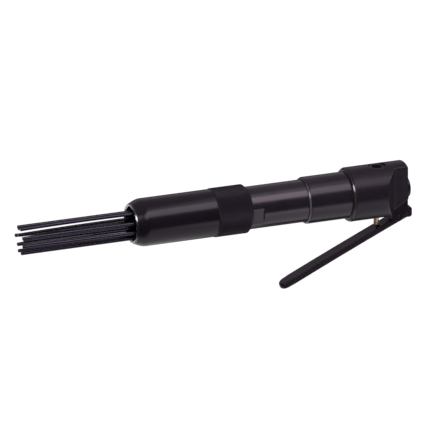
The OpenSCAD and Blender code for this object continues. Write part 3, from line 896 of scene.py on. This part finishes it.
def leverField(along, y, n):
    # along the bar, across it and square to its top, from the hinge
    v = lever
    c, s = leverFrame()
    t = -along
    u, w = along * c - n * s, along * s + n * c
    side = np.abs(y)
    top = -v["bow"] * ((t - v["crown"]) / v["crown"]) ** 2
    thick = v["thickness"] + (v["tipThickness"] - v["thickness"]) * np.maximum(t, 0.0) / v["length"]
    bar = largest(n - top, top - thick - n, -v["heel"] - t)
    barrelField = np.hypot(u, w) - v["barrel"]
    hookMiddle = (v["hookIn"] + v["hookOut"]) / 2, (v["hookLow"] + v["hookHigh"]) / 2
    hookU = np.abs(u - hookMiddle[0]) - (v["hookOut"] - v["hookIn"]) / 2 + v["hookRound"]
    hookW = np.abs(w - hookMiddle[1]) - (v["hookHigh"] - v["hookLow"]) / 2 + v["hookRound"]
    hook = roundedBox(hookU, hookW, v["hookRound"])
    profile = softJoin(softJoin(bar, barrelField, v["weld"]), hook, v["weld"])
    tipStart = v["length"] - v["tipHalf"]
    share = np.clip((t - v["taperStart"]) / (tipStart - v["taperStart"]), 0.0, 1.0)
    straight = side - v["half"] - (v["tipHalf"] - v["half"]) * share
    plan = np.where(t > tipStart, np.hypot(t - tipStart, y) - v["tipHalf"], straight)
    plan = plan + v["draft"] * (n + v["thickness"] / 2)
    tipShare = np.clip((t - tipStart) / v["tipHalf"] + 1.0, 0.0, 1.0)
    shape = softCut(profile, plan, v["edge"] + v["tipEdge"] * tipShare)
    return softCut(shape, v["hole"] - np.hypot(u, w), v["holeEdge"])


def makeLever():
    v = lever
    c, s = leverFrame()
    low = (-v["length"], -v["half"], -v["heelDrop"])
    high = (v["heelReach"], v["half"], v["barrel"])
    points, faces, normals = skinField(leverField, low, high, v["cell"])
    turn = np.array(((c, 0.0, s), (0.0, 1.0, 0.0), (-s, 0.0, c)))
    placed = points @ turn + (v["pivotX"], 0.0, v["pivotZ"])
    finishPiece("squeezeLever", placed, faces, ["leverBlack"], "lever", ["lever"],
                normals=normals @ turn)


makeLever()


# Needles: loose drawn wires, each a little out of true

needles = {
    "count": 12, "steps": 24, "radius": 1.5, "tipBevel": 0.35, "headRadius": 2.1, "headLength": 3.0,
    "straight": 15,  # length in front of the head that stays true, in the holder
    "rings": 16, "ringsFromTip": 6, "ringsFromHead": 4, "wander": 0.2, "seed": 11, "mouth": -253.8,
    # how far a loose needle lies above or below true, at the mouth and at its tip
    "lift": {3: (-1.3, 0.85), 4: (0.4, 0.9), 5: (0.5, 1.5), 7: (0.5, 1.3), 8: (0.85, 0.9), 9: (1.9, 1.4),
             10: (1.1, 0.0), 11: (0.0, -1.65), 12: (0.9, 1.3)},
    # how much of its tip a needle has lost
    "worn": {2: 2.9, 3: 0.8, 4: 2.0, 12: 2.9},
}


def makeNeedle(number, draw):
    n = needles
    node = f"needle_{number}"
    low, high = (np.array(corner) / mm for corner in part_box(node))
    middle = (low + high) / 2
    tip, head = low[0] + n["worn"].get(number, 0.0), high[0]
    neck = head - n["headLength"]
    free = neck - n["straight"]
    corners = [
        (tip, 0.0, 0.0, 0),
        (tip, n["radius"] - n["tipBevel"], 0.1, 0),
        (tip + n["tipBevel"], n["radius"], 0.1, 0),
    ]
    rings = np.linspace(tip + n["ringsFromTip"], neck - n["ringsFromHead"], n["rings"])
    corners += [(along, n["radius"], 0.0, 0) for along in rings]
    corners += [
        (neck, n["radius"], 0.0, 0),
        (neck, n["headRadius"], 0.2, 0),
        (head, n["headRadius"], 0.3, 0),
        (head, 0.0, 0.0, 0),
    ]
    points, faces, _ = turnOutline(roundCorners(corners, 3), n["steps"])
    leanY = draw.normal(0.0, n["wander"])
    mouthLift, tipLift = n["lift"].get(number, (0.0, 0.0))
    atMouth = (free - n["mouth"]) / (free - tip)
    bend = (tipLift - mouthLift / atMouth) / (1 - atMouth)
    placed = []
    for x, y, z in points:
        share = max(0.0, (free - x) / (free - tip))
        rise = share * (tipLift + bend * (share - 1))
        placed.append((x, y + middle[1] + leanY * share, z + middle[2] + rise))
    name = f"needleWire{number}"
    finishPiece(name, placed, faces, ["needleSteel"], node, [node], sharp=40)


needleDraw = np.random.default_rng(needles["seed"])
for number in range(1, needles["count"] + 1):
    makeNeedle(number, needleDraw)


# Hinge pin with chamfered ends

hingePin = {
    "x": -11.4, "z": -23.7, "half": 9.7, "radius": 1.985,
    "chamfer": 0.4, "dimple": 0.9, "dimpleDepth": 0.35, "steps": 48,
}


def makeHingePin():
    p = hingePin
    half, r = p["half"], p["radius"]
    corners = [
        (p["dimpleDepth"] - half, 0.0, 0.0, 0),
        (-half, p["dimple"], 0.1, 0),
        (-half, r - p["chamfer"], 0.1, 0),
        (p["chamfer"] - half, r, 0.1, 0),
        (half - p["chamfer"], r, 0.1, 0),
        (half, r - p["chamfer"], 0.1, 0),
        (half, p["dimple"], 0.1, 0),
        (half - p["dimpleDepth"], 0.0, 0.0, 0),
    ]
    points, faces, _ = turnOutline(roundCorners(corners, 3), p["steps"])
    placed = [(p["x"] + z, x, p["z"] + y) for x, y, z in points]
    finishPiece("hingePin", placed, faces, ["plugBlack"], "tool", ["lever_pin"], sharp=35)


makeHingePin()


# Springs: wound wire, coiled in the box of each spring part

springs = {
    "throttleSpring": {
        "node": "throttle_spring", "axis": 2, "wire": 1.1, "turns": 5,
        "joint": "throttle_lift", "fixedEnd": "high", "travel": 4.1,
    },
    "returnSpring": {
        "node": "return_spring", "axis": 0, "wire": 1.2, "turns": 8,
        "joint": "holder_slide", "fixedEnd": "low", "travel": 12.1,
    },
}
coil = {"sides": 10, "ringsPerTurn": 36}


def makeSpring(name, s):
    low, high = (np.array(corner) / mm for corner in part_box(s["node"]))
    middle = (low + high) / 2
    along, across, up = np.roll(np.eye(3), -s["axis"], axis=0)
    length = high[s["axis"]] - low[s["axis"]]
    thick = s["wire"] / 2
    radius = (high - low)[(s["axis"] + 1) % 3] / 2 - thick
    sides = coil["sides"]
    last = s["turns"] * coil["ringsPerTurn"]
    points = []
    for k in range(last + 1):
        a = 2 * math.pi * k / coil["ringsPerTurn"]
        outward = math.cos(a) * across + math.sin(a) * up
        climb = thick - length / 2 + (length - 2 * thick) * k / last
        centre = middle + radius * outward + climb * along
        for b in 2 * math.pi * np.arange(sides) / sides:
            points.append(centre + thick * (math.cos(b) * outward + math.sin(b) * along))
    faces = [list(range(sides)), [last * sides + k for k in reversed(range(sides))]]
    for k in range(last):
        first, second = k * sides, (k + 1) * sides
        for i in range(sides):
            j = (i + 1) % sides
            faces.append([first + i, second + i, second + j, first + j])
    obj = finishPiece(name, points, faces, ["springSteel"], "tool", [s["node"]], sharp=50)
    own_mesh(obj)


for springName, spring in springs.items():
    makeSpring(springName, spring)


# The CAD pieces that stay as they are get their finish by slot

slotFinish = {
    "brass": "brass", "bright_steel": "bareSteel", "spring_steel": "springSteel", "rubber": "rubber",
    "pin_steel": "bareSteel", "cast_black": "castBlack", "turned_black": "turnedBlack",
    "knurl_black": "knurlBlack", "lever_black": "leverBlack", "plug_black": "plugBlack",
    "needle_steel": "needleSteel",
}
for part in frame["record"]["subparts"]:
    data = frame["nodes"][part["node"]].data
    data.materials.clear()
    data.materials.append(materials[slotFinish[part["material_slot"]]])
print("CAD finishes set")


# Pale floor and soft studio light

studio = {
    "floorZ": -0.42, "floorSize": 30.0, "pale": 1.05, "room": 0.02,
    # the floor glows instead of being lit; in reflections its glow is a painted pattern of light and
    # shade: dark towards the camera and far ahead of the needles, brighter beside the handle, dimmer
    # further out
    "card": 0.9, "cardFade": (-1.25, -0.95), "cardEnd": (-0.65, -0.45), "cardSlant": 0.6,
    "cardLift": (0.11, 0.19), "cardGain": 1.9, "cardSide": (0.55, 0.75), "cardSideLevel": 0.25,
    # a painted shadow: the tool's own shade, painted into the floor's glow
    "shade": 0.85, "shadeX": (-0.06, 0.02), "shadeY": (0.02, 0.12),
    # name: middle, aim, width, height, radiance
    "lights": {
        "frontSoftbox": ((0.36, -0.83, 1.26), (-0.15, 0.0, 0.0), 2.6, 0.72, 3.4),
        "topGlow": ((0.48, -0.39, 1.74), (-0.15, 0.0, 0.0), 2.6, 0.42, 0.95),
        "overhead": ((0.0, 0.1, 2.2), (0.0, 0.1, 0.0), 4.0, 1.4, 0.27),
        "backPanel": ((-0.2, 1.7, 1.35), (-0.15, 0.0, 0.0), 5.0, 2.6, 0.31),
        "backGlow": ((-0.2, 1.9, 0.78), (-0.15, 0.0, 0.0), 5.0, 0.75, 0.2),
        "rimLight": ((-1.23, -0.71, 0.86), (-0.1, 0.0, 0.0), 0.5, 0.5, 14.0),
    },
    # the panels behind the tool are a little purple
    "tint": {"backPanel": (1.0, 0.84, 1.0), "backGlow": (1.0, 0.84, 1.0)},
}


def seenOrReflected(tree, reflected):
    # the backdrop is pale to the camera and keeps its own level in reflections
    path = addNode(tree, "ShaderNodeLightPath")
    seen = multiply(tree, path.outputs["Is Camera Ray"], studio["pale"])
    return mathNode(tree, "MAXIMUM", seen, reflected)


def makeFloor():
    s = studio
    half = s["floorSize"] / 2
    corners = [(-half, -half, 0), (half, -half, 0), (half, half, 0), (-half, half, 0)]
    mesh = bpy.data.meshes.new("paleFloor")
    mesh.from_pydata(corners, [], [(0, 1, 2, 3)])
    material = bpy.data.materials.new("paleFloor")
    material.use_nodes = True
    tree = material.node_tree
    shader = tree.nodes["Principled BSDF"]
    shader.inputs["Base Color"].default_value = (0.0, 0.0, 0.0, 1.0)
    shader.inputs["Specular IOR Level"].default_value = 0.0
    shader.inputs["Emission Color"].default_value = (1.0, 1.0, 1.0, 1.0)
    place = splitPlace(tree, objectPlace(tree))
    x, y = place["X"], place["Y"]
    level = remap(tree, y, *s["cardFade"], 0.0, s["card"])
    slant = mathNode(tree, "MULTIPLY_ADD", y, s["cardSlant"], x)
    level = multiply(tree, level, rampUp(tree, slant, *s["cardEnd"]))
    level = multiply(tree, level, remap(tree, x, *s["cardLift"], 1.0, s["cardGain"]))
    level = multiply(tree, level, remap(tree, x, *s["cardSide"], 1.0, s["cardSideLevel"]))
    # painted shadow of the tool in the floor's glow
    shade = remap(tree, x, *s["shadeX"], 0.0, s["shade"])
    shade = multiply(tree, shade, rampUp(tree, y, *s["shadeY"]))
    level = multiply(tree, level, subtract(tree, 1.0, shade))
    feed(tree, shader.inputs["Emission Strength"], seenOrReflected(tree, level))
    mesh.materials.append(material)
    floor = addToScene(bpy.data.objects.new("paleFloor", mesh))
    floor.location.z = s["floorZ"]


def makeLights():
    for name, (middle, aim, width, height, radiance) in studio["lights"].items():
        data = bpy.data.lights.new(name, "AREA")
        data.shape = "RECTANGLE"
        data.size, data.size_y = width, height
        data.energy = radiance * math.pi * width * height
        data.color = studio["tint"].get(name, (1.0, 1.0, 1.0))
        light = addToScene(bpy.data.objects.new(name, data))
        light.location = middle
        light.rotation_euler = (Vector(aim) - Vector(middle)).to_track_quat("-Z", "Y").to_euler()


def makeRoom():
    world = bpy.data.worlds.new("studioRoom")
    world.use_nodes = True
    tree = world.node_tree
    background = tree.nodes["Background"]
    background.inputs["Color"].default_value = (1.0, 1.0, 1.0, 1.0)
    feed(tree, background.inputs["Strength"], seenOrReflected(tree, studio["room"]))
    bpy.context.scene.world = world
    bpy.context.scene.view_settings.view_transform = "Standard"


makeFloor()
makeLights()
makeRoom()
print("studio set")
